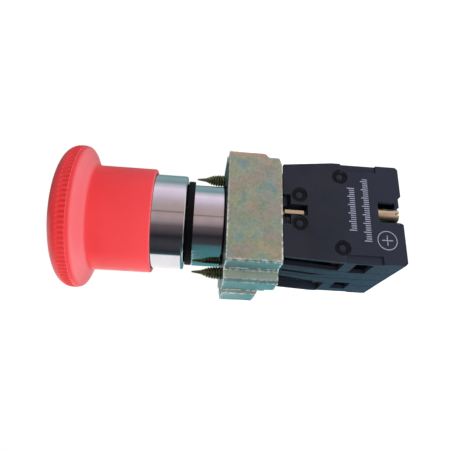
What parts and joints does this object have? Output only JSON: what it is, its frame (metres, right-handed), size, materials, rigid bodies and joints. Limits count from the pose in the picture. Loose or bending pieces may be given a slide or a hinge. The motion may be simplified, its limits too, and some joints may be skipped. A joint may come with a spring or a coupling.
{
  "type": "emergency stop push button",
  "caption": "Red mushroom-head emergency stop button with chrome body, panel gasket, zinc mounting collar, pointed clamp screws and two contact blocks.",
  "frame": {"origin": "on the button's axis, in the plane where the gasket meets the panel's front face", "axes": "+Z out of the panel towards the operator, +X and -X towards the wire terminals, +Y across the two contact blocks"},
  "size_m": [0.0412, 0.04, 0.093],
  "materials": {
    "head_plastic": "smooth moulded, satin",
    "hub_brass": "turned",
    "brass": "pale, bright",
    "steel": "turned",
    "spring_wire": "drawn wire",
    "chrome": "polished",
    "rubber": "matte",
    "liner": "moulded",
    "zinc": "die-cast, yellow passivated",
    "screw_steel": "yellow passivated",
    "block_plastic": "fine moulded grain",
    "plunger_plastic": "moulded",
    "copper": "stamped"
  },
  "bodies": {
    "root": {"barrel_ring": "rubber", "bezel_o_ring": "rubber", "block_1_base": "block_plastic", "block_1_clamp_hook": "brass", "block_1_clamp_washer_lower": "screw_steel", "block_1_clamp_washer_upper": "screw_steel", "block_1_cover": "block_plastic", "block_1_fixing_screw": "brass", "block_1_plunger_spring": "spring_wire", "block_1_rivet_1": "block_plastic", "block_1_rivet_2": "block_plastic", "block_1_rivet_3": "block_plastic", "block_1_rivet_4": "block_plastic", "block_1_terminal_lower": "copper", "block_1_terminal_screw_lower": "screw_steel", "block_1_terminal_screw_upper": "screw_steel", "block_1_terminal_upper": "copper", "block_2_base": "block_plastic", "block_2_clamp_hook": "brass", "block_2_clamp_washer_lower": "screw_steel", "block_2_clamp_washer_upper": "screw_steel", "block_2_cover": "block_plastic", "block_2_fixing_screw": "brass", "block_2_plunger_spring": "spring_wire", "block_2_rivet_1": "block_plastic", "block_2_rivet_2": "block_plastic", "block_2_rivet_3": "block_plastic", "block_2_rivet_4": "block_plastic", "block_2_terminal_lower": "copper", "block_2_terminal_screw_lower": "screw_steel", "block_2_terminal_screw_upper": "screw_steel", "block_2_terminal_upper": "copper", "guide_sleeve": "liner", "mounting_collar": "zinc", "operator_body": "chrome", "panel_gasket": "rubber", "return_spring": "spring_wire"},
    "push_rod": {"spindle": "steel", "spindle_clip": "spring_wire", "hub_clip": "spring_wire", "pusher_plate": "steel", "twist_spring": "spring_wire", "latch_spring": "spring_wire"},
    "mushroom_head": {"mushroom_cap": "head_plastic", "cap_hub": "hub_brass"},
    "latch_pin_right": {"latch_pin_right": "steel"},
    "latch_pin_left": {"latch_pin_left": "steel"},
    "block_1_plunger": {"block_1_plunger": "plunger_plastic", "block_1_contact_bridge": "copper"},
    "block_2_plunger": {"block_2_plunger": "plunger_plastic", "block_2_contact_bridge": "copper"},
    "clamp_screw_upper": {"clamp_screw_upper": "screw_steel"},
    "clamp_screw_lower": {"clamp_screw_lower": "screw_steel"}
  },
  "joints": [
    {"name": "head_press", "type": "slide", "parent": "root", "child": "push_rod", "axis": [0, 0, 1], "range_m": [-0.0045, 0], "stiffness_N_per_m": 900, "springref_m": 0.004, "deforming": ["return_spring"]},
    {"name": "head_twist", "type": "hinge", "parent": "push_rod", "child": "mushroom_head", "pos_m": [0, 0, 0.025], "axis": [0, 0, 1], "range_deg": [-40, 0], "stiffness_Nm_per_rad": 0.03, "springref_deg": 171.89},
    {"name": "latch_pin_right_slide", "type": "slide", "parent": "push_rod", "child": "latch_pin_right", "axis": [1, 0, 0], "range_m": [0, 0.0009]},
    {"name": "latch_pin_left_slide", "type": "slide", "parent": "push_rod", "child": "latch_pin_left", "axis": [-1, 0, 0], "range_m": [0, 0.0009]},
    {"name": "block_1_plunger_slide", "type": "slide", "parent": "root", "child": "block_1_plunger", "axis": [0, 0, 1], "range_m": [-0.0045, 0], "stiffness_N_per_m": 250, "springref_m": 0.002, "deforming": ["block_1_plunger_spring"]},
    {"name": "block_2_plunger_slide", "type": "slide", "parent": "root", "child": "block_2_plunger", "axis": [0, 0, 1], "range_m": [-0.0045, 0], "stiffness_N_per_m": 250, "springref_m": 0.002, "deforming": ["block_2_plunger_spring"]},
    {"name": "clamp_screw_upper_feed", "type": "slide", "parent": "root", "child": "clamp_screw_upper", "axis": [0, 0, 1], "range_m": [-0.003, 0]},
    {"name": "clamp_screw_lower_feed", "type": "slide", "parent": "root", "child": "clamp_screw_lower", "axis": [0, 0, 1], "range_m": [-0.003, 0]}
  ],
  "couplings": [
    {"joint": "latch_pin_right_slide", "follows": "head_press", "ratio": -0.2},
    {"joint": "latch_pin_left_slide", "follows": "head_press", "ratio": -0.2},
    {"joint": "block_1_plunger_slide", "follows": "head_press", "ratio": 1},
    {"joint": "block_2_plunger_slide", "follows": "head_press", "ratio": 1}
  ]
}
